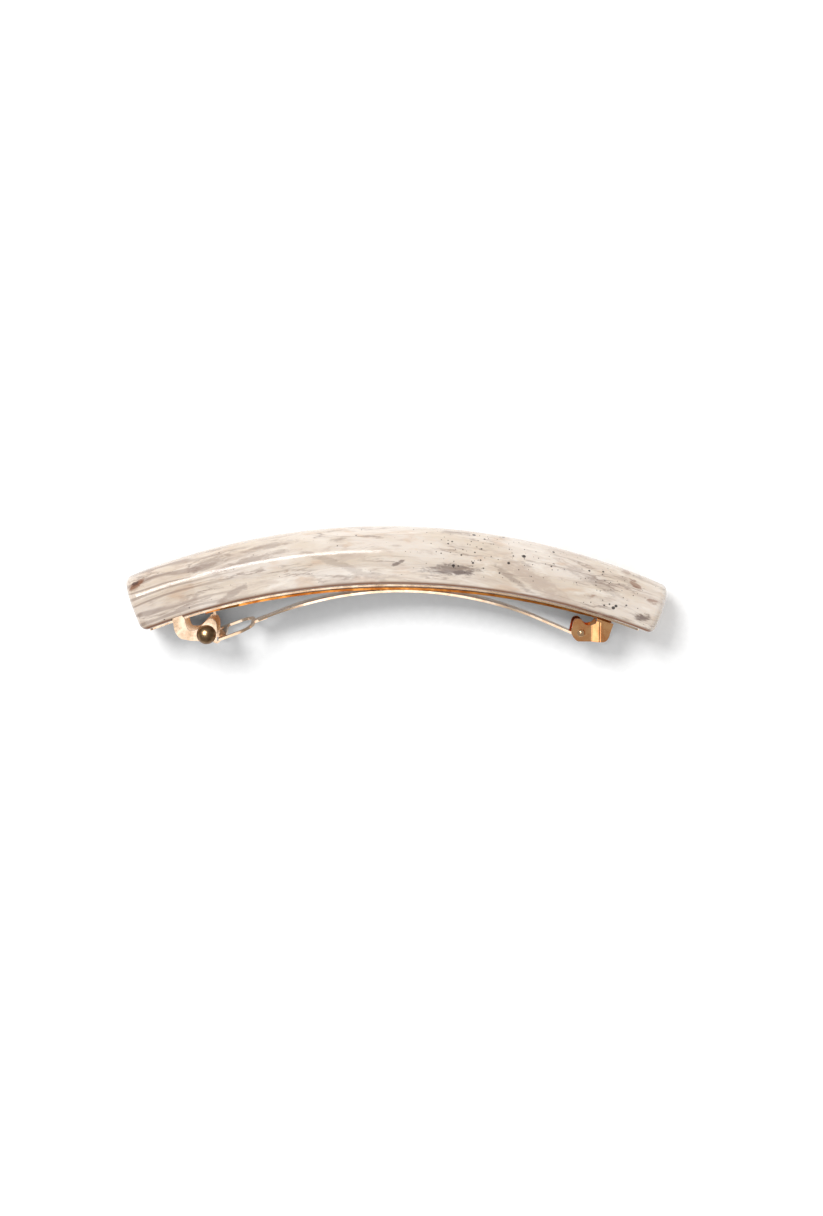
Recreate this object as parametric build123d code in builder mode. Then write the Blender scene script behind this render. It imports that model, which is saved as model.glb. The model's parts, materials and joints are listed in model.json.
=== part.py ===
"""French-clip barrette: a bowed half-round acetate bar with a stamped spring clip on its back.

Frame: +X runs along the bar from the catch to the hinge, +Y points from the clip to the bar's
dome, and +Z runs across the bar's width. The barrette lies on its long side, and the origin is
the bottom centre of its bounding box.
"""

import math
import os

from build123d import *

os.makedirs("parts", exist_ok=True)

# --- driving dimensions, in millimetres and degrees -------------------------------------------

# common centre of the bowed parts, seen along Z
bow_x = -0.48
bow_y = -139.53

# acetate bar
bar_width = 12.0
bar_back_radius = 140.0
bar_back_round = 1.0
bar_end_round = 1.7
bar_left_angle = -21.45
bar_right_angle = 22.05
dome_radius = 139.9
dome_shift = (-1.66, 11.5)
dome_height = 7.5

# sheet metal
plate_sheet = 0.5
sheet = 0.45
mid_z = bar_width / 2

# base plate, and the lug that holds the tension bar's free end
plate_radius = bar_back_radius - plate_sheet
plate_width = 7.5
plate_angle = 20.9
plate_corner = 0.8
plate_pin_angle = 19.9
lug_angle = -15.4
lug_width = 2.0
lug_drop = 1.4
lug_foot = 0.9

# tension bar
spring_left_angle = -16.1
spring_right_angle = 18.55
spring_bow = 0.35
spring_width = 6.0
spring_tip_width = 3.6
spring_tip_length = 3.0
spring_taper_length = 4.0
lug_slot_play = 0.3

# catch
catch_angle = -18.3
catch_length = 2.4
saddle_play = 0.05
crimp_tab_width = 1.1
wing_start = 2.3
knob_radius = 2.0
knob_height = 1.7
knob_place = (5.58, -2.79)
knob_shank_diameter = 1.0
knob_tail_diameter = 1.6
knob_tail_height = 0.3

# hinge
hinge_angle = 18.0
hinge_web_length = 3.4
hinge_ear_z = 2.4
hinge_bend = (-1.3, -2.7)
pin_place = (-4.97, -2.94)
pin_diameter = 1.0
pin_head_diameter = 1.65
pin_head_height = 0.4
knuckle_radius = 0.8
knuckle_width = 4.2
knuckle_turn = 300.0

# clasp arm and its loop
arm_centre = (1.26, 67.4)
arm_radius = 71.03
arm_width = 6.5
neck_place = (-27.87, 132.22)
neck_width = 2.0
neck_length = 3.0
waist_reach = 20.0
waist_ease = 0.15
waist_end = 33.5
loop_slope = 20.3
loop_roll = 7.0
loop_sheet = 0.5
loop_width = 10.6
loop_bar = 0.7
loop_start = 0.8
loop_end = 8.5
loop_shoulder = 3.6
loop_window_corner = 2.9
loop_window_toe = 0.5
crossbar_width = 1.6
release_notch_place = 3.175
release_notch_width = 0.95
release_notch_depth = 0.8

# fasteners
plate_pin_diameter = 1.5
plate_pin_depth = 3.5
plate_pin_head = 2.6
plate_pin_head_height = 0.3
rivet_diameter = 1.2
rivet_head_diameter = 2.2
rivet_head_height = 0.4


# --- frames on the bow ------------------------------------------------------------------------


def bow_point(angle, radius):
    """Point at an angle from the bow's top, positive towards the hinge."""
    turn = math.radians(angle)
    return (bow_x + radius * math.sin(turn), bow_y + radius * math.cos(turn))


def side_frame(angle, z=0.0):
    """Side-view plane on the plate's underside: x along the bow, y outwards, normal +Z."""
    turn = math.radians(angle)
    along = (math.cos(turn), -math.sin(turn), 0)
    return Plane(origin=(*bow_point(angle, plate_radius), z), x_dir=along, z_dir=(0, 0, 1))


def level_frame(angle, z=0.0):
    """Side-view plane on the plate's underside, with x and y parallel to X and Y."""
    return Plane(origin=(*bow_point(angle, plate_radius), z), x_dir=(1, 0, 0), z_dir=(0, 0, 1))


def radial_frame(angle, height=0.0):
    """Plane square to the bow's radius: x along the bow, normal outwards."""
    turn = math.radians(angle)
    along = (math.cos(turn), -math.sin(turn), 0)
    outwards = (math.sin(turn), math.cos(turn), 0)
    origin = (*bow_point(angle, plate_radius + height), mid_z)
    return Plane(origin=origin, x_dir=along, z_dir=outwards)


def ring_profile(centre):
    """Plane for a profile revolved about a centre: x is the radius, y runs across the width."""
    return Plane(origin=(*centre, mid_z), x_dir=(0, -1, 0), z_dir=(-1, 0, 0))


def save(builder, label):
    """Name a finished piece and write its STEP file."""
    builder.part.label = label
    export_step(builder.part, f"parts/{label}.step")


def stud(base, axis, rings, cap_diameter, cap_height):
    """Round part on an axis: a domed cap on the base plane, and (diameter, depth) rings below."""
    cap_radius = (cap_diameter**2 / 4 + cap_height**2) / (2 * cap_height)
    section = Plane(origin=base, x_dir=Plane(origin=base, z_dir=axis).x_dir, z_dir=axis)
    with BuildPart(section) as pin:
        with Locations((0, 0, cap_height - cap_radius)):
            Sphere(cap_radius)
        Box(
            4 * cap_radius,
            4 * cap_radius,
            2 * cap_radius + cap_height,
            align=(Align.CENTER, Align.CENTER, Align.MAX),
            mode=Mode.SUBTRACT,
        )
        top = 0
        for diameter, depth in rings:
            with Locations((0, 0, top)):
                Cylinder(diameter / 2, depth, align=(Align.CENTER, Align.CENTER, Align.MAX))
            top -= depth
    return pin


# --- acetate bar: half-round section, thinner towards both ends --------------------------------

bow_centre = (bow_x, bow_y)
dome_centre = (bow_x + dome_shift[0], bow_y + dome_shift[1])
saddle_top = plate_sheet + sheet

with BuildPart() as acetate_bar:
    with BuildSketch():
        with Locations(dome_centre):
            Circle(dome_radius)
        with Locations(bow_centre):
            Circle(bar_back_radius, mode=Mode.SUBTRACT)
        with BuildLine():
            Polyline(
                bow_centre,
                bow_point(bar_left_angle, 2 * bar_back_radius),
                bow_point(bar_right_angle, 2 * bar_back_radius),
                close=True,
            )
        make_face(mode=Mode.INTERSECT)
    extrude(amount=bar_width)
    # rounded edges along the flat back
    with BuildSketch(ring_profile(bow_centre)) as back_profile:
        with Locations((bar_back_radius, 0)):
            Rectangle(2 * bar_width, bar_width, align=(Align.MIN, Align.CENTER))
        fillet(back_profile.vertices().group_by(Axis.X)[0], radius=bar_back_round)
    revolve(axis=Axis((*bow_centre, 0), (0, 0, 1)), mode=Mode.INTERSECT)
    # elliptical dome
    with BuildSketch(ring_profile(dome_centre)):
        with Locations((dome_radius - dome_height, 0)):
            Ellipse(dome_height, bar_width / 2)
            Rectangle(4 * dome_height, bar_width, align=(Align.MAX, Align.CENTER))
    revolve(axis=Axis((*dome_centre, 0), (0, 0, 1)), mode=Mode.INTERSECT)
    ends = acetate_bar.faces().filter_by(GeomType.PLANE).filter_by(Plane.XY, reverse=True)
    fillet(ends.edges(), radius=bar_end_round)
    # routed slot for the catch's saddle, and the holes for the two plate pins
    with BuildSketch(side_frame(catch_angle)):
        with Locations((0, plate_sheet)):
            Rectangle(
                catch_length + 2 * saddle_play,
                2 * (sheet + saddle_play),
            )
    extrude(amount=bar_width, mode=Mode.SUBTRACT)
    for angle in (-plate_pin_angle, plate_pin_angle):
        with BuildSketch(radial_frame(angle, -plate_sheet)):
            Circle(plate_pin_diameter / 2)
        extrude(amount=2 * plate_sheet + plate_pin_depth, mode=Mode.SUBTRACT)
save(acetate_bar, "acetate_bar")

# --- base plate ---------------------------------------------------------------------------------

with BuildPart() as base_plate:
    with BuildSketch(Plane.XY.offset(mid_z)):
        with Locations(bow_centre):
            Circle(bar_back_radius)
            Circle(plate_radius, mode=Mode.SUBTRACT)
        with BuildLine():
            Polyline(
                bow_centre,
                bow_point(-plate_angle, 2 * bar_back_radius),
                bow_point(plate_angle, 2 * bar_back_radius),
                close=True,
            )
        make_face(mode=Mode.INTERSECT)
    extrude(amount=plate_width / 2, both=True)
    plate_ends = base_plate.faces().filter_by(GeomType.PLANE).filter_by(Plane.XY, reverse=True)
    end_corners = plate_ends.edges().filter_by(lambda e: e.length < 2 * plate_sheet)
    fillet(end_corners, radius=plate_corner)
    for angle in (-plate_pin_angle, plate_pin_angle):
        with BuildSketch(radial_frame(angle, -plate_sheet)):
            Circle(plate_pin_diameter / 2)
        extrude(amount=3 * plate_sheet, mode=Mode.SUBTRACT)
    with BuildSketch(radial_frame(hinge_angle, -plate_sheet)):
        Circle(rivet_diameter / 2)
    extrude(amount=3 * plate_sheet, mode=Mode.SUBTRACT)
    # lug bent down through the tension bar's slot, with its foot turned towards the catch
    with BuildSketch(side_frame(lug_angle, mid_z)):
        with BuildLine():
            Polyline(
                (sheet / 2, plate_sheet / 2),
                (sheet / 2, -lug_drop),
                (-lug_foot, -lug_drop),
                (-lug_foot, sheet - lug_drop),
                (-sheet / 2, sheet - lug_drop),
                (-sheet / 2, plate_sheet / 2),
                close=True,
            )
        make_face()
    extrude(amount=lug_width / 2, both=True)
save(base_plate, "base_plate")

# --- tension bar: flatter bow than the plate, touching it at both ends ---------------------------

spring_middle = (spring_left_angle + spring_right_angle) / 2
spring_half = math.radians((spring_right_angle - spring_left_angle) / 2)
half_chord = plate_radius * math.sin(spring_half)
spring_rise = plate_radius * (1 - math.cos(spring_half)) - spring_bow
spring_radius = (half_chord**2 + spring_rise**2) / (2 * spring_rise)
spring_centre = bow_point(spring_middle, plate_radius - spring_bow - spring_radius)
tip_start = spring_tip_length
taper_end = spring_tip_length + spring_taper_length

with BuildPart() as tension_bar:
    with BuildSketch(Plane.XY.offset(mid_z)):
        with Locations(spring_centre):
            Circle(spring_radius)
            Circle(spring_radius - sheet, mode=Mode.SUBTRACT)
        with BuildLine():
            Polyline(
                bow_centre,
                bow_point(spring_left_angle, 2 * plate_radius),
                bow_point(spring_right_angle, 2 * plate_radius),
                close=True,
            )
        make_face(mode=Mode.INTERSECT)
    extrude(amount=spring_width / 2, both=True)
    # both ends narrow to tongues, seen square to the bar
    with BuildSketch(radial_frame(spring_middle, -2 * plate_width)):
        with BuildLine():
            Polyline(
                (-half_chord - 1, -spring_tip_width / 2),
                (tip_start - half_chord, -spring_tip_width / 2),
                (taper_end - half_chord, -spring_width / 2),
                (half_chord - taper_end, -spring_width / 2),
                (half_chord - tip_start, -spring_tip_width / 2),
                (half_chord + 1, -spring_tip_width / 2),
                (half_chord + 1, spring_tip_width / 2),
                (half_chord - tip_start, spring_tip_width / 2),
                (half_chord - taper_end, spring_width / 2),
                (taper_end - half_chord, spring_width / 2),
                (tip_start - half_chord, spring_tip_width / 2),
                (-half_chord - 1, spring_tip_width / 2),
                close=True,
            )
        make_face()
    extrude(amount=4 * plate_width, mode=Mode.INTERSECT)
    # slot for the plate's lug
    with BuildSketch(radial_frame(lug_angle, -2 * sheet)):
        Rectangle(sheet + 2 * lug_slot_play, lug_width + lug_slot_play)
    extrude(amount=3 * sheet, mode=Mode.SUBTRACT)
    with BuildSketch(radial_frame(hinge_angle, -3 * sheet)):
        Circle(rivet_diameter / 2)
    extrude(amount=4 * sheet, mode=Mode.SUBTRACT)
save(tension_bar, "tension_bar")

# --- catch bracket: saddle over the plate, two ears and the crimp tabs under the plate -----------

ear_reach = plate_width / 2 + sheet

with BuildPart() as catch_bracket:
    with BuildSketch(side_frame(catch_angle, mid_z + plate_width / 2)):
        with Locations((0, saddle_top)):
            Rectangle(catch_length, saddle_top + sheet, align=(Align.CENTER, Align.MAX))
    extrude(amount=sheet)
    with BuildSketch(level_frame(catch_angle, mid_z + plate_width / 2)):
        with BuildLine():
            start = Line((-1.2, 0.1), (-1.0, -1.4))
            corner = Spline(start @ 1, (-0.35, -2.95), (0.8, -3.75), tangents=(start % 1, (1, -0.2)))
            bottom = Line(corner @ 1, (wing_start, -4.05))
            edge = Line(bottom @ 1, (wing_start, -2.0))
            notch = Spline(edge @ 1, (1.55, -1.2), (1.15, 0.5), tangents=((-1, 0.1), (-0.15, 1)))
            Line(notch @ 1, start @ 0)
        make_face()
    extrude(amount=sheet)
    with BuildSketch(side_frame(catch_angle, mid_z + plate_width / 2)):
        with Locations((0, 0)):
            Rectangle(0.8 * catch_length, sheet, align=(Align.CENTER, Align.MAX))
    extrude(amount=-crimp_tab_width)
    mirror(about=Plane.XY.offset(mid_z))
    with BuildSketch(side_frame(catch_angle, mid_z)):
        with Locations((0, plate_sheet)):
            Rectangle(catch_length, sheet, align=(Align.CENTER, Align.MIN))
    extrude(amount=ear_reach, both=True)
save(catch_bracket, "catch_bracket")

# --- catch wings: each springs from its ear, and its lip holds the loop's crossbar ----------------

wing_bottom = -4.05
wing_right = 7.7

with BuildPart() as front_catch_wing:
    with BuildSketch(level_frame(catch_angle, mid_z + plate_width / 2)):
        with BuildLine():
            foot = Line((wing_start, -2.0), (wing_start, wing_bottom))
            bottom = Line(foot @ 1, (6.9, -4.3))
            lip = Polyline(
                bottom @ 1,
                (7.75, -4.65),
                (8.35, -4.3),
                (8.35, wing_bottom),
                (wing_right, wing_bottom),
            )
            right = Line(lip @ 1, (wing_right, -1.3))
            head = Spline(
                right @ 1,
                (7.25, 0.1),
                (6.55, 0.5),
                (5.75, 0.1),
                (4.9, -0.7),
                tangents=((0, 1), (-0.7, -0.7)),
            )
            Spline(head @ 1, (3.8, -1.75), foot @ 0, tangents=((-0.7, -0.7), (-1, 0)))
        make_face()
    extrude(amount=sheet)
    with BuildSketch(level_frame(catch_angle, mid_z)):
        with Locations(knob_place):
            Circle(knob_shank_diameter / 2)
    extrude(amount=bar_width, mode=Mode.SUBTRACT)
save(front_catch_wing, "front_catch_wing")

with BuildPart() as rear_catch_wing:
    mirror(front_catch_wing.part, about=Plane.XY.offset(mid_z))
save(rear_catch_wing, "rear_catch_wing")

# --- knobs: domed outside, shank through the wing, upset tail inside ------------------------------

knob_base = level_frame(catch_angle, mid_z + ear_reach).from_local_coords((*knob_place, 0))
knob_rings = [(knob_shank_diameter, sheet), (knob_tail_diameter, knob_tail_height)]
front_knob = stud(knob_base, (0, 0, 1), knob_rings, 2 * knob_radius, knob_height)
save(front_knob, "front_knob")

with BuildPart() as rear_knob:
    mirror(front_knob.part, about=Plane.XY.offset(mid_z))
save(rear_knob, "rear_knob")

# --- hinge bracket: web under the plate, ears that step in to meet the knuckle --------------------

web_top = -plate_sheet
ear_outer = plate_width / 2 - sheet / 2
hinge_origin = bow_point(hinge_angle, plate_radius)
ear_section = Plane(origin=(*hinge_origin, mid_z), x_dir=(1, 0, 0), z_dir=(0, -1, 0))

with BuildPart() as hinge_bracket:
    # the ear's bends, seen from the plate
    with BuildSketch(ear_section.offset(-1)):
        with BuildLine():
            FilletPolyline(
                (2.2, ear_outer),
                (hinge_bend[0], ear_outer),
                (hinge_bend[1], hinge_ear_z),
                (-7.6, hinge_ear_z),
                radius=0.7,
            )
        trace(line_width=sheet)
    extrude(amount=8)
    # the ear's outline, seen from the side
    with BuildSketch(level_frame(hinge_angle, mid_z)):
        with BuildLine():
            root = Line((-1.8, 0.1), (1.45, -0.95))
            side = Line(root @ 1, (0.65, -3.4))
            low = Spline(side @ 1, (0.25, -4.2), (-0.7, -4.68), tangents=(side % 1, (-1, 0)))
            bottom = Line(low @ 1, (-5.2, -4.66))
            toe = Spline(bottom @ 1, (-6.4, -4.0), (-7.0, -2.5), tangents=((-1, 0), (0.1, 1)))
            back = Line(toe @ 1, (-6.65, -0.8))
            peak = Spline(back @ 1, (-5.85, 0.0), (-4.8, -0.4), tangents=(back % 1, (0.6, -0.8)))
            Spline(peak @ 1, (-3.6, -1.4), (-2.3, -1.05), root @ 0, tangents=((0.6, -0.8), (0.2, 1)))
        make_face()
    extrude(amount=plate_width, mode=Mode.INTERSECT)
    mirror(about=Plane.XY.offset(mid_z))
    with BuildSketch(side_frame(hinge_angle, mid_z)):
        with Locations((0, web_top)):
            Rectangle(hinge_web_length, sheet, align=(Align.CENTER, Align.MAX))
    extrude(amount=plate_width / 2, both=True)
    with BuildSketch(level_frame(hinge_angle)):
        with Locations(pin_place):
            Circle(pin_diameter / 2)
    extrude(amount=bar_width, mode=Mode.SUBTRACT)
    with BuildSketch(radial_frame(hinge_angle, -3 * plate_sheet)):
        Circle(rivet_diameter / 2)
    extrude(amount=3 * plate_sheet, mode=Mode.SUBTRACT)
save(hinge_bracket, "hinge_bracket")

# --- hinge pin, hinge rivet and plate pins -------------------------------------------------------

pin_reach = hinge_ear_z + sheet / 2
pin_base = level_frame(hinge_angle, mid_z + pin_reach).from_local_coords((*pin_place, 0))
pin_x, pin_y, _ = pin_base

with BuildPart() as hinge_pin:
    add(stud(pin_base, (0, 0, 1), [(pin_diameter, pin_reach)], pin_head_diameter, pin_head_height).part)
    mirror(about=Plane.XY.offset(mid_z))
save(hinge_pin, "hinge_pin")

rivet_seat = radial_frame(hinge_angle, web_top - sheet)
rivet_length = plate_sheet - web_top + sheet
hinge_rivet = stud(
    rivet_seat.origin,
    -rivet_seat.z_dir,
    [(rivet_diameter, rivet_length)],
    rivet_head_diameter,
    rivet_head_height,
)
save(hinge_rivet, "hinge_rivet")

for label, angle in (("left_plate_pin", -plate_pin_angle), ("right_plate_pin", plate_pin_angle)):
    seat = radial_frame(angle)
    rings = [(plate_pin_diameter, plate_pin_depth)]
    plate_pin = stud(seat.origin, -seat.z_dir, rings, plate_pin_head, plate_pin_head_height)
    save(plate_pin, label)

# --- clasp arm: bowed strip, rolled knuckle and loop ------------------------------------------------

arm_x = bow_x + arm_centre[0]
arm_y = bow_y + arm_centre[1]
neck_x = bow_x + neck_place[0]
neck_y = bow_y + neck_place[1]

# straight run from the bow to the knuckle: the inner tangent of the two circles
reach_x = pin_x - arm_x
reach_y = pin_y - arm_y
lean = math.asin((arm_radius + knuckle_radius) / math.hypot(reach_x, reach_y))
run_turn = math.atan2(reach_y, reach_x) - lean + math.pi / 2
run_angle = math.degrees(run_turn)
neck_angle = math.degrees(math.atan2(neck_y - arm_y, neck_x - arm_x))
knuckle_start = run_angle + 180

slope = math.radians(loop_slope)
roll = math.radians(loop_roll)
loop_along = (-math.cos(slope), -math.sin(slope), 0)
loop_up = (-math.sin(slope) * math.cos(roll), math.cos(slope) * math.cos(roll), math.sin(roll))
loop_plane = Plane(origin=(neck_x, neck_y, mid_z), x_dir=loop_along, z_dir=loop_up)
window_start = loop_start + loop_bar
window_end = loop_end - crossbar_width

with BuildPart() as clasp_arm:
    with BuildSketch(Plane.XY.offset(mid_z)):
        with BuildLine():
            CenterArc((arm_x, arm_y), arm_radius, run_angle, neck_angle - run_angle)
            run_start = (
                arm_x + arm_radius * math.cos(run_turn),
                arm_y + arm_radius * math.sin(run_turn),
            )
            run_end = (
                pin_x - knuckle_radius * math.cos(run_turn),
                pin_y - knuckle_radius * math.sin(run_turn),
            )
            Line(run_start, run_end)
            CenterArc((pin_x, pin_y), knuckle_radius, knuckle_start, knuckle_turn)
        trace(line_width=sheet)
    extrude(amount=arm_width / 2, both=True)
    # the strip's width, seen square to the bar
    with BuildSketch(Plane(origin=(0, 0, mid_z), x_dir=(1, 0, 0), z_dir=(0, -1, 0))):
        with BuildLine():
            waist = Spline(
                (neck_x - 1, neck_width / 2),
                (-waist_reach, arm_width / 2 - waist_ease),
                (0, arm_width / 2),
                (waist_reach, arm_width / 2 - waist_ease),
                (waist_end, knuckle_width / 2),
                tangents=((1, 0.25), (1, 0)),
            )
            Polyline(
                waist @ 1,
                (pin_x + 4, knuckle_width / 2),
                (pin_x + 4, 0),
                (neck_x - 1, 0),
                waist @ 0,
            )
        make_face()
        mirror(about=Plane.XZ)
    extrude(amount=2 * bar_width, both=True, mode=Mode.INTERSECT)
    # the loop: neck, rounded shoulders, window and crossbar with its two release notches
    with BuildSketch(loop_plane) as loop:
        with Locations((loop_start, 0)):
            Rectangle(loop_end - loop_start, loop_width, align=(Align.MIN, Align.CENTER))
        fillet(loop.vertices().group_by(Axis.X)[0], radius=loop_shoulder)
        with BuildSketch(mode=Mode.SUBTRACT) as window:
            with Locations((window_start, 0)):
                window_size = (window_end - window_start, loop_width - 2 * loop_bar)
                Rectangle(*window_size, align=(Align.MIN, Align.CENTER))
            fillet(window.vertices().group_by(Axis.X)[0], radius=loop_window_corner)
            fillet(window.vertices().group_by(Axis.X)[-1], radius=loop_window_toe)
        with Locations((loop_end, release_notch_place), (loop_end, -release_notch_place)):
            Rectangle(2 * release_notch_depth, release_notch_width, mode=Mode.SUBTRACT)
        with Locations((loop_start + loop_bar / 2, 0)):
            Rectangle(neck_length, neck_width, align=(Align.MAX, Align.CENTER))
    extrude(amount=loop_sheet / 2, both=True)
save(clasp_arm, "clasp_arm")
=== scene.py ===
"""Studio scene for the barrette: marbled acetate bar on a polished gold-plated clip."""

import json
import math

import bmesh
import bpy
from mathutils import Matrix, Vector

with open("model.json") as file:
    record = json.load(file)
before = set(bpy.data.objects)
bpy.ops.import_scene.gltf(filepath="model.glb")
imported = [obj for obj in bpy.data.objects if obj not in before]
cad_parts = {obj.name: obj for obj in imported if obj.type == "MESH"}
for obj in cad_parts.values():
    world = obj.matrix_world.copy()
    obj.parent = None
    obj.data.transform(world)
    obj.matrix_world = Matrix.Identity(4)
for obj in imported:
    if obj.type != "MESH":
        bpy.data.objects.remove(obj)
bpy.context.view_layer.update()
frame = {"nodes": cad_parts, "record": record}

MM = 0.001

# the bow that the bar follows: its centre, the radius of the bar's back and the bar's depth in
# metres, and the angles of its two ends in degrees from +Y
BOW_CENTRE = (-0.48 * MM, -139.53 * MM)
BACK_RADIUS = 140.0 * MM
BAR_DEPTH = 11.7 * MM
LEFT_END = -21.45
RIGHT_END = 22.05

FLOOR_REACH = 3.0
FLOOR_GAP = 0.02 * MM


# --- camera ------------------------------------------------------------------------------------


def look_at(item, place, target):
    """Puts a camera or light at a place, aimed at a target, with +Y upwards in its view."""
    back = (Vector(place) - Vector(target)).normalized()
    right = Vector((0, 1, 0)).cross(back).normalized()
    top = back.cross(right)
    turn = Matrix((right, top, back)).transposed().to_4x4()
    item.matrix_world = Matrix.Translation(place) @ turn


camera_tilt = math.radians(7)
camera_distance = 0.400
camera_target = Vector((3.01, -4.47, 9.9)) * MM
camera_back = Vector((0, math.sin(camera_tilt), math.cos(camera_tilt)))

camera_data = bpy.data.cameras.new("camera")
camera_data.lens = 58.3
camera_data.sensor_width = 36
camera_data.clip_start = 0.01
camera = bpy.data.objects.new("camera", camera_data)
bpy.context.scene.collection.objects.link(camera)
look_at(camera, camera_target + camera_back * camera_distance, camera_target)
bpy.context.scene.camera = camera

# --- light -------------------------------------------------------------------------------------

bpy.context.scene.view_settings.view_transform = "Standard"
bpy.context.scene.cycles.caustics_reflective = False

FILL_STRENGTH = 0.70
REFLECTED_STRENGTH = 0.30

world = bpy.data.worlds.new("studio")
world.use_nodes = True
backdrop = world.node_tree.nodes["Background"]
backdrop.inputs["Color"].default_value = (1, 1, 1, 1)
# a dim studio for reflections, and a brighter one to fill the shadows
ray = world.node_tree.nodes.new("ShaderNodeLightPath")
room = world.node_tree.nodes.new("ShaderNodeMapRange")
room.inputs["To Min"].default_value = FILL_STRENGTH
room.inputs["To Max"].default_value = REFLECTED_STRENGTH
world.node_tree.links.new(ray.outputs["Is Glossy Ray"], room.inputs["Value"])
world.node_tree.links.new(room.outputs["Result"], backdrop.inputs["Strength"])
bpy.context.scene.world = world


def softbox(name, place, size, power):
    """Rectangular light aimed at the origin, that the camera does not see: metres and watts."""
    data = bpy.data.lights.new(name, "AREA")
    data.shape = "RECTANGLE"
    data.size, data.size_y = size
    data.energy = power
    lamp = bpy.data.objects.new(name, data)
    bpy.context.scene.collection.objects.link(lamp)
    look_at(lamp, place, (0, 0, 0))
    lamp.visible_camera = False
    return lamp


def reflector(name, place, size, power, *nodes):
    """Card that only shows as a reflection, in these CAD nodes."""
    card = softbox(name, place, size, power)
    card.visible_diffuse = False
    seen_in = bpy.data.collections.new(name)
    for node in nodes:
        seen_in.objects.link(frame["nodes"][node])
    card.light_linking.receiver_collection = seen_in


# the key light casts the shadows, and the streak is the long highlight along the bar
key = softbox("key", (-0.42, 0.52, 0.84), (0.40, 0.40), 7.8)
key.visible_glossy = False
streak = softbox("streak", (-0.33, 0.60, 0.84), (0.64, 0.10), 1.6)
streak.visible_diffuse = False

# cards that the polished pieces reflect
softbox("clip_card", (-0.12, -0.13, 0.80), (0.32, 0.14), 0.18)
reflector("knob_light", (-0.33, 0.37, 0.84), (0.54, 0.54), 15.0, "front_knob", "rear_knob")
reflector("arm_card", (-0.04, -0.30, 0.80), (0.60, 0.50), 0.9, "clasp_arm")
reflector("loop_card", (-0.04, 0.20, 0.80), (0.60, 0.40), 0.6, "clasp_arm")
reflector("ear_card", (0.105, -0.11, 0.80), (0.20, 0.16), 0.012, "hinge_bracket")
reflector("edge_card", (-0.12, -0.13, 0.80), (0.32, 0.14), 0.30, "base_plate")
reflector("fold_card", (-0.50, -0.05, 0.16), (0.50, 0.26), 0.54, "hinge_bracket")
reflector("pin_card", (-0.10, 0.20, 0.80), (0.16, 0.16), 0.5, "hinge_pin", "hinge_bracket")

# --- floor -------------------------------------------------------------------------------------

floor_builder = bmesh.new()
bmesh.ops.create_grid(floor_builder, x_segments=4, y_segments=4, size=FLOOR_REACH)
floor_mesh = bpy.data.meshes.new("floor")
floor_builder.to_mesh(floor_mesh)
floor_builder.free()
floor = bpy.data.objects.new("floor", floor_mesh)
bpy.context.scene.collection.objects.link(floor)
floor.location.z = -FLOOR_GAP


# --- shader graphs -----------------------------------------------------------------------------


class Graph:
    """A material and short calls for the nodes it is made of."""

    def __init__(self, name):
        self.material = bpy.data.materials.new(name)
        self.material.use_nodes = True
        self.nodes = self.material.node_tree.nodes
        self.links = self.material.node_tree.links
        self.shader = self.nodes["Principled BSDF"]
        self.place = self.add("ShaderNodeTexCoord").outputs["Object"]

    def add(self, kind, **settings):
        node = self.nodes.new(kind)
        for key, value in settings.items():
            setattr(node, key, value)
        return node

    def feed(self, socket, value):
        """Links an output to a socket, or sets the socket's own value."""
        if isinstance(value, bpy.types.NodeSocket):
            self.links.new(value, socket)
        else:
            socket.default_value = value

    def math(self, operation, *values, clamp=False):
        node = self.add("ShaderNodeMath", operation=operation, use_clamp=clamp)
        for socket, value in zip(node.inputs, values):
            self.feed(socket, value)
        return node.outputs[0]

    def vector(self, *values):
        node = self.add("ShaderNodeCombineXYZ")
        for socket, value in zip(node.inputs, values):
            self.feed(socket, value)
        return node.outputs[0]

    def scaled(self, vector, scale):
        node = self.add("ShaderNodeVectorMath", operation="MULTIPLY")
        self.feed(node.inputs[0], vector)
        node.inputs[1].default_value = scale
        return node.outputs[0]

    def ease(self, value, low, high, out_low=0.0, out_high=1.0):
        """Smooth step from low to high."""
        node = self.add("ShaderNodeMapRange", interpolation_type="SMOOTHSTEP")
        self.feed(node.inputs["Value"], value)
        node.inputs["From Min"].default_value = low
        node.inputs["From Max"].default_value = high
        node.inputs["To Min"].default_value = out_low
        node.inputs["To Max"].default_value = out_high
        return node.outputs["Result"]

    def noise(self, vector, scale, detail=3.0, rough=0.5, warp=0.0, output="Fac"):
        node = self.add("ShaderNodeTexNoise")
        self.feed(node.inputs["Vector"], vector)
        node.inputs["Scale"].default_value = scale
        node.inputs["Detail"].default_value = detail
        node.inputs["Roughness"].default_value = rough
        node.inputs["Distortion"].default_value = warp
        return node.outputs[output]

    def mix(self, factor, first, second, blend="MIX"):
        node = self.add("ShaderNodeMix", data_type="RGBA", blend_type=blend)
        self.feed(node.inputs[0], factor)
        self.feed(node.inputs[6], first)
        self.feed(node.inputs[7], second)
        return node.outputs[2]

    def bump(self, height, strength, distance):
        node = self.add("ShaderNodeBump")
        self.feed(node.inputs["Height"], height)
        node.inputs["Strength"].default_value = strength
        node.inputs["Distance"].default_value = distance
        self.links.new(node.outputs["Normal"], self.shader.inputs["Normal"])

    def give(self, **inputs):
        """Sets or links the shader's inputs, named with _ for a space."""
        for name, value in inputs.items():
            self.feed(self.shader.inputs[name.replace("_", " ")], value)


def colour(red, green, blue):
    """Shader colour from display values of 0 to 255."""
    return (*((value / 255) ** 2.2 for value in (red, green, blue)), 1)


# --- marbled acetate ---------------------------------------------------------------------------

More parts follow.
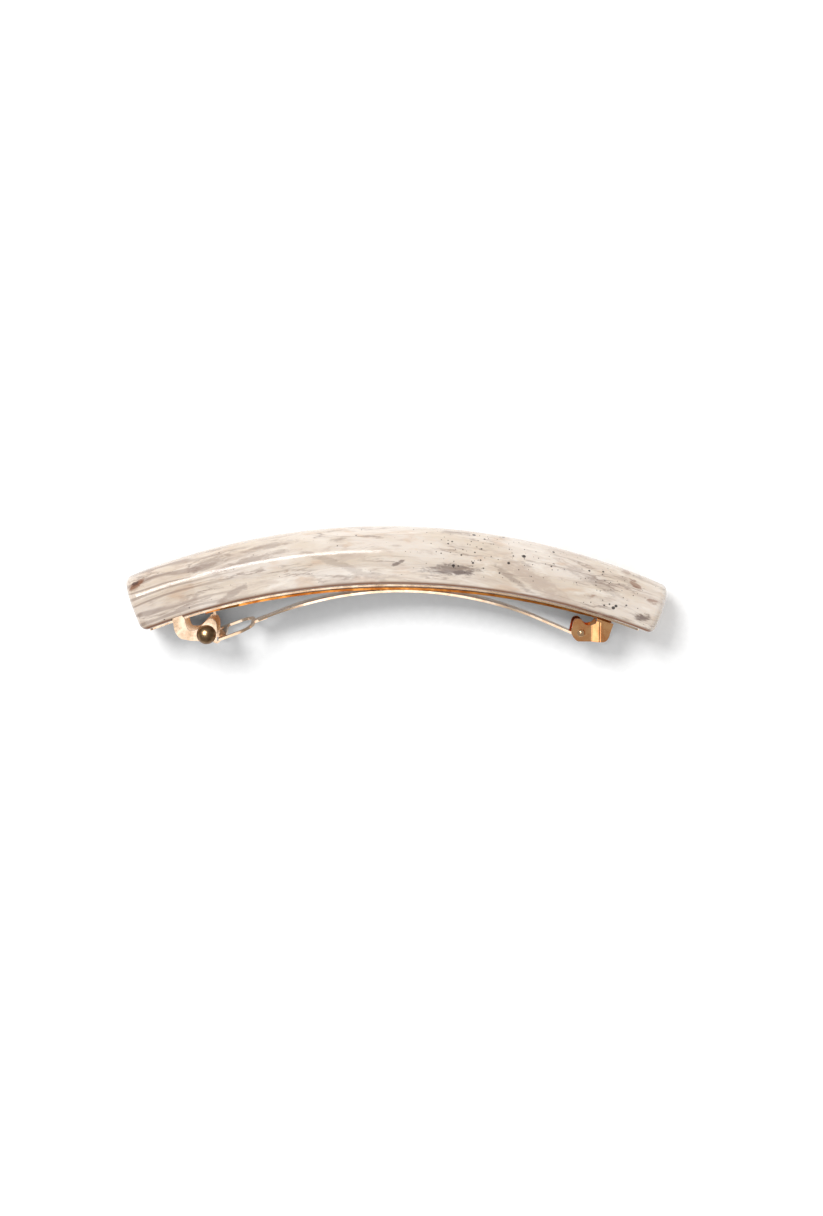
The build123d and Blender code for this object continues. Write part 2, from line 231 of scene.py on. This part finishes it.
MILK = colour(228, 219, 208)
IVORY = colour(217, 206, 195)
CREAM = colour(207, 192, 175)
PEACH = colour(203, 178, 156)
SAND = colour(186, 168, 154)
TAUPE = colour(140, 122, 112)
UMBER = colour(84, 64, 58)
RUST = colour(120, 76, 52)
INK = colour(30, 24, 26)
# painted shade and painted reflection of the gold plate, for the bar's rounded back edge
EDGE_SHADE_AND_PLATE_REFLECTION = colour(118, 66, 26)


def bow_place(graph):
    """Coordinates in millimetres: along the bow, outwards from the bar's back, and across it."""
    parts = graph.add("ShaderNodeSeparateXYZ")
    graph.links.new(graph.place, parts.inputs[0])
    across_x = graph.math("SUBTRACT", parts.outputs[0], BOW_CENTRE[0])
    across_y = graph.math("SUBTRACT", parts.outputs[1], BOW_CENTRE[1])
    turn = graph.math("ARCTAN2", across_x, across_y)
    along = graph.math("MULTIPLY", turn, BACK_RADIUS / MM)
    squares = graph.math(
        "ADD",
        graph.math("MULTIPLY", across_x, across_x),
        graph.math("MULTIPLY", across_y, across_y),
    )
    radius = graph.math("SQRT", squares)
    out = graph.math("MULTIPLY", graph.math("SUBTRACT", radius, BACK_RADIUS), 1 / MM)
    side = graph.math("MULTIPLY", parts.outputs[2], 1 / MM)
    return along, out, side


def along_at(fraction):
    """Millimetres along the bow at a fraction of the bar's length."""
    turn = LEFT_END + fraction * (RIGHT_END - LEFT_END)
    return math.radians(turn) * BACK_RADIUS / MM


def smudge(graph, along, out, ripple, place, size, tilt, soft):
    """Ragged oval on the bar's face: place in fractions of length and depth, size in mm."""
    step_along = graph.math("SUBTRACT", along, along_at(place[0]))
    step_out = graph.math("SUBTRACT", out, place[1] * BAR_DEPTH / MM)
    turn = math.radians(tilt)
    length = graph.math(
        "ADD",
        graph.math("MULTIPLY", step_along, 2 * math.cos(turn) / size[0]),
        graph.math("MULTIPLY", step_out, 2 * math.sin(turn) / size[0]),
    )
    width = graph.math(
        "ADD",
        graph.math("MULTIPLY", step_along, -2 * math.sin(turn) / size[1]),
        graph.math("MULTIPLY", step_out, 2 * math.cos(turn) / size[1]),
    )
    squares = graph.math(
        "ADD", graph.math("MULTIPLY", length, length), graph.math("MULTIPLY", width, width)
    )
    reach = graph.math("ADD", squares, ripple)
    return graph.ease(reach, 1 + soft, 1 - soft)


def band_noise(graph, place, scale, seed, low, high, top):
    """Soft clouds of one seed, stretched along the bow."""
    moved = graph.add("ShaderNodeVectorMath", operation="ADD")
    graph.links.new(graph.scaled(place, scale), moved.inputs[0])
    moved.inputs[1].default_value = (seed, seed * 0.7, seed * 1.3)
    cloud = graph.noise(moved.outputs[0], 1.0, detail=6, rough=0.62, warp=0.35)
    return graph.ease(cloud, low, high, 0, top)


def wander(graph, place):
    """The place moved by a slow warp, so that every vein wanders."""
    drift = graph.noise(graph.scaled(place, (0.035, 0.16, 0.12)), 1.0, detail=2, output="Color")
    shift = graph.add("ShaderNodeVectorMath", operation="MULTIPLY_ADD")
    graph.links.new(drift, shift.inputs[0])
    shift.inputs[1].default_value = (6.0, 5.0, 4.0)
    graph.links.new(place, shift.inputs[2])
    return shift.outputs[0]


def clouds(graph, warped):
    """Clouds of cream, ivory, peach and sand."""
    billow = graph.noise(graph.scaled(warped, (0.06, 0.22, 0.15)), 1.0, detail=4, rough=0.55)
    shade = graph.mix(graph.ease(billow, 0.36, 0.62), CREAM, IVORY)
    blush = graph.noise(graph.scaled(warped, (0.11, 0.30, 0.22)), 1.3, detail=3, warp=0.6)
    shade = graph.mix(graph.ease(blush, 0.55, 0.74, 0, 0.75), shade, PEACH)
    haze = graph.noise(graph.scaled(warped, (0.09, 0.5, 0.3)), 1.0, detail=5, rough=0.6)
    return graph.mix(graph.ease(haze, 0.52, 0.72, 0, 0.7), shade, SAND)


def veins(graph, place, warped, shade):
    """Long veins, fine veins that run with the flow, and brown, rust and milky patches."""
    flow = graph.noise(graph.scaled(warped, (0.055, 0.42, 0.26)), 1.0, detail=6, rough=0.62)
    ridge = graph.math("ABSOLUTE", graph.math("SUBTRACT", flow, 0.5))
    patch = graph.noise(graph.scaled(place, (0.05, 0.2, 0.15)), 1.7, detail=2)
    vein = graph.math(
        "MULTIPLY", graph.ease(ridge, 0.035, 0.0), graph.ease(patch, 0.42, 0.62, 0, 0.7)
    )
    shade = graph.mix(vein, shade, TAUPE)

    silk = graph.noise(graph.scaled(warped, (0.10, 0.95, 0.55)), 1.0, detail=6, rough=0.6, warp=0.5)
    silk_ridge = graph.math("ABSOLUTE", graph.math("SUBTRACT", silk, 0.52))
    silk_patch = band_noise(graph, place, (0.06, 0.25, 0.2), 7.0, 0.40, 0.60, 0.55)
    fine = graph.math("MULTIPLY", graph.ease(silk_ridge, 0.05, 0.0), silk_patch)
    shade = graph.mix(fine, shade, SAND)

    for tone, scale, seed, low, high, top in (
        (TAUPE, (0.12, 0.55, 0.4), 3.0, 0.56, 0.74, 0.6),
        (RUST, (0.16, 0.60, 0.5), 11.0, 0.62, 0.76, 0.6),
        (MILK, (0.10, 0.45, 0.3), 19.0, 0.54, 0.70, 0.7),
    ):
        shade = graph.mix(band_noise(graph, warped, scale, seed, low, high, top), shade, tone)
    return shade


def catch_end(graph, along, warped, shade):
    """Wood-grain lines towards the catch end, and a seam beyond which the sheet is darker."""
    grain = graph.add("ShaderNodeTexWave", wave_type="BANDS", bands_direction="Y")
    graph.links.new(graph.scaled(warped, (0.10, 1.0, 0.5)), grain.inputs["Vector"])
    grain.inputs["Scale"].default_value = 0.20
    grain.inputs["Distortion"].default_value = 5.0
    grain.inputs["Detail"].default_value = 3.0
    grain.inputs["Detail Scale"].default_value = 1.2
    reach = graph.ease(along, along_at(0.30), along_at(0.06), 0, 0.65)
    lines = graph.math("MULTIPLY", graph.ease(grain.outputs["Fac"], 0.62, 0.95), reach)
    shade = graph.mix(lines, shade, TAUPE)

    seam = graph.ease(along, along_at(0.125), along_at(0.118), 0, 0.35)
    return graph.mix(seam, shade, graph.mix(0.5, shade, PEACH, "MULTIPLY"))


# streaks, smears and blotches: tone, strength, place in fractions of length and depth, size in
# millimetres, tilt in degrees and softness
MARKS = (
    (TAUPE, 0.36, (0.400, 0.36), (17.0, 1.3), -24, 0.9),
    (TAUPE, 0.55, (0.715, 0.28), (8.5, 1.2), -28, 0.9),
    (TAUPE, 0.55, (0.230, 0.66), (13.0, 1.2), 6, 0.9),
    (TAUPE, 0.35, (0.860, 0.55), (11.0, 1.6), -14, 0.9),
    (UMBER, 0.65, (0.600, 0.30), (9.5, 2.0), 4, 0.9),
    (UMBER, 0.60, (0.620, 0.27), (4.0, 0.9), 8, 0.8),
    (TAUPE, 0.60, (0.160, 0.78), (9.0, 1.6), 8, 0.9),
    (TAUPE, 0.50, (0.270, 0.84), (9.0, 1.0), 3, 0.9),
    (TAUPE, 0.60, (0.190, 0.18), (6.0, 1.4), 20, 0.9),
    (SAND, 0.80, (0.760, 0.30), (16.0, 2.6), -22, 0.9),
    (UMBER, 0.65, (0.500, 0.38), (2.6, 0.7), 30, 0.6),
    (RUST, 0.85, (0.022, 0.80), (3.0, 1.3), 20, 0.7),
    (UMBER, 0.80, (0.020, 0.82), (1.3, 0.7), 10, 0.6),
    (RUST, 0.60, (0.935, 0.70), (2.4, 1.2), -20, 0.7),
    (RUST, 0.55, (0.975, 0.52), (2.2, 1.0), 10, 0.7),
    (RUST, 0.45, (0.915, 0.84), (1.8, 0.8), -10, 0.7),
    (UMBER, 0.70, (0.968, 0.22), (3.2, 1.3), 12, 0.8),
)

# ink specks: scale of the cells, and a speck's radius within its cell where they are few and
# where they crowd
SPECKS = ((0.42, 0.05, 0.13), (0.70, 0.05, 0.11), (1.3, 0.05, 0.13))


def marks(graph, place, along, out, shade):
    """Long soft streaks, brown smears and rust blotches with ragged outlines."""
    fuzz = graph.noise(graph.scaled(place, (0.45, 1.3, 0.9)), 1.0, detail=7, rough=0.7, warp=0.5)
    ripple = graph.math("MULTIPLY", graph.math("SUBTRACT", fuzz, 0.5), 7.0)
    for tone, strength, spot, size, tilt, soft in MARKS:
        mark = smudge(graph, along, out, ripple, spot, size, tilt, soft)
        shade = graph.mix(graph.math("MULTIPLY", mark, strength), shade, tone)
    return shade


def specks(graph, place, along, out, shade):
    """Ink specks: dense past the middle, a second group near the hinge end, few elsewhere."""
    crowd = graph.math(
        "ADD",
        smudge(graph, along, out, 0.0, (0.67, 0.62), (30.0, 9.0), 0, 0.9),
        smudge(graph, along, out, 0.0, (0.90, 0.45), (14.0, 8.0), 0, 0.9),
        clamp=True,
    )
    for scale, size_few, size_many in SPECKS:
        cells = graph.add("ShaderNodeTexVoronoi", feature="F1", distance="EUCLIDEAN")
        graph.links.new(graph.scaled(place, (0.8, 0.9, 0.9)), cells.inputs["Vector"])
        cells.inputs["Scale"].default_value = scale
        limit = graph.ease(crowd, 0.0, 1.0, size_few, size_many)
        gap = graph.math("SUBTRACT", limit, cells.outputs["Distance"])
        shade = graph.mix(graph.ease(gap, -0.01, 0.02, 0, 0.9), shade, INK)
    return shade


def paint_edge_shade_and_reflection(graph, out, shade):
    """Painted shade and a painted reflection of the plate: a dark brown band along the bar's
    rounded back edge, beside the plate.
    """
    rim = graph.ease(out, 0.02, 0.25)
    edge_shade = graph.math("MULTIPLY", rim, graph.ease(out, 0.9, 0.35, 0, 0.9))
    return graph.mix(edge_shade, shade, EDGE_SHADE_AND_PLATE_REFLECTION)


def acetate():
    """Marbled acetate under a clear polished coat."""
    graph = Graph("marbled_acetate")
    along, out, side = bow_place(graph)
    place = graph.vector(along, out, side)
    warped = wander(graph, place)
    shade = clouds(graph, warped)
    shade = veins(graph, place, warped, shade)
    shade = catch_end(graph, along, warped, shade)
    shade = marks(graph, place, along, out, shade)
    shade = specks(graph, place, along, out, shade)
    # painted shade and painted reflection of the plate along the back edge
    shade = paint_edge_shade_and_reflection(graph, out, shade)

    polish = graph.noise(graph.scaled(place, (0.4, 0.9, 0.9)), 1.0, detail=4)
    graph.give(
        Base_Color=shade,
        Roughness=graph.ease(polish, 0.3, 0.7, 0.09, 0.16),
        IOR=1.49,
        Subsurface_Weight=0.08,
        Subsurface_Radius=(1.0, 0.7, 0.45),
        Subsurface_Scale=0.0015,
        Coat_Weight=0.6,
        Coat_Roughness=0.07,
    )
    graph.bump(polish, 0.06, 0.0002)
    return graph.material


# --- plated and antiqued metal -----------------------------------------------------------------


def metal(name, bright, deep, worn, smooth, dull):
    """Plated sheet: slow tone changes, rubbed spots, fine polishing lines and pinpricks.

    smooth and dull are its lowest and highest roughness.
    """
    graph = Graph(name)
    mottle = graph.noise(graph.place, 420, detail=4, rough=0.6)
    shade = graph.mix(graph.ease(mottle, 0.35, 0.68), bright, deep)
    rub = graph.noise(graph.place, 900, detail=5, rough=0.7, warp=0.4)
    shade = graph.mix(graph.ease(rub, 0.62, 0.78, 0, 0.7), shade, worn)
    lines = graph.noise(graph.scaled(graph.place, (0.12, 1.0, 1.0)), 9000, detail=2)
    gloss = graph.math(
        "ADD", graph.math("MULTIPLY", mottle, 0.7), graph.math("MULTIPLY", lines, 0.3)
    )
    graph.give(
        Base_Color=shade,
        Metallic=1.0,
        Roughness=graph.ease(gloss, 0.35, 0.65, smooth, dull),
    )
    pits = graph.noise(graph.place, 2600, detail=3)
    graph.bump(graph.math("ADD", lines, pits), 0.05, 0.00001)
    return graph.material


gold = metal(
    "gold_plate", colour(253, 209, 164), colour(242, 180, 124), colour(206, 128, 82), 0.07, 0.17
)
# copies of the gold plating with light and shade painted into their colour: paler for painted
# light, deeper for painted shade
painted_light_gold = metal(
    "painted_light_gold", colour(253, 226, 198), colour(247, 208, 172), colour(222, 164, 124), 0.15, 0.28
)
painted_shade_gold = metal(
    "painted_shade_gold", colour(250, 190, 132), colour(228, 156, 102), colour(190, 112, 72), 0.07, 0.17
)
painted_shade_spring_gold = metal(
    "painted_shade_spring_gold", colour(226, 150, 74), colour(176, 96, 38), colour(132, 66, 26), 0.10, 0.20
)
bronze = metal(
    "dark_bronze", colour(158, 130, 98), colour(112, 86, 60), colour(184, 152, 110), 0.26, 0.38
)

slot_finish = {
    "marbled_acetate": acetate(),
    "gold_plate": gold,
    "dark_bronze": bronze,
}
# lit and shaded copies of the gold plating: painted light makes the plate, arm and catch paler, and
# painted shade makes the hinge bracket and spring deeper
node_finish = {
    "base_plate": painted_light_gold,
    "clasp_arm": painted_light_gold,
    "catch_bracket": painted_light_gold,
    "front_catch_wing": painted_light_gold,
    "rear_catch_wing": painted_light_gold,
    "hinge_bracket": painted_shade_gold,
    "tension_bar": painted_shade_spring_gold,
}
for part in frame["record"]["subparts"]:
    node = frame["nodes"][part["node"]]
    finish = node_finish.get(part["node"], slot_finish[part["material_slot"]])
    node.data.materials.clear()
    node.data.materials.append(finish)

# --- floor paper -------------------------------------------------------------------------------

PAPER_HOLLOW = (0.94, 0.94, 0.94, 1)
PAPER_TOP = (0.97, 0.97, 0.97, 1)

paper = Graph("floor_paper")
tooth = paper.noise(paper.place, 600, detail=3)
paper.give(
    Base_Color=paper.mix(paper.ease(tooth, 0.3, 0.7), PAPER_HOLLOW, PAPER_TOP),
    Roughness=paper.ease(tooth, 0.3, 0.7, 0.85, 0.95),
    Specular_IOR_Level=0.0,
)
floor.data.materials.append(paper.material)
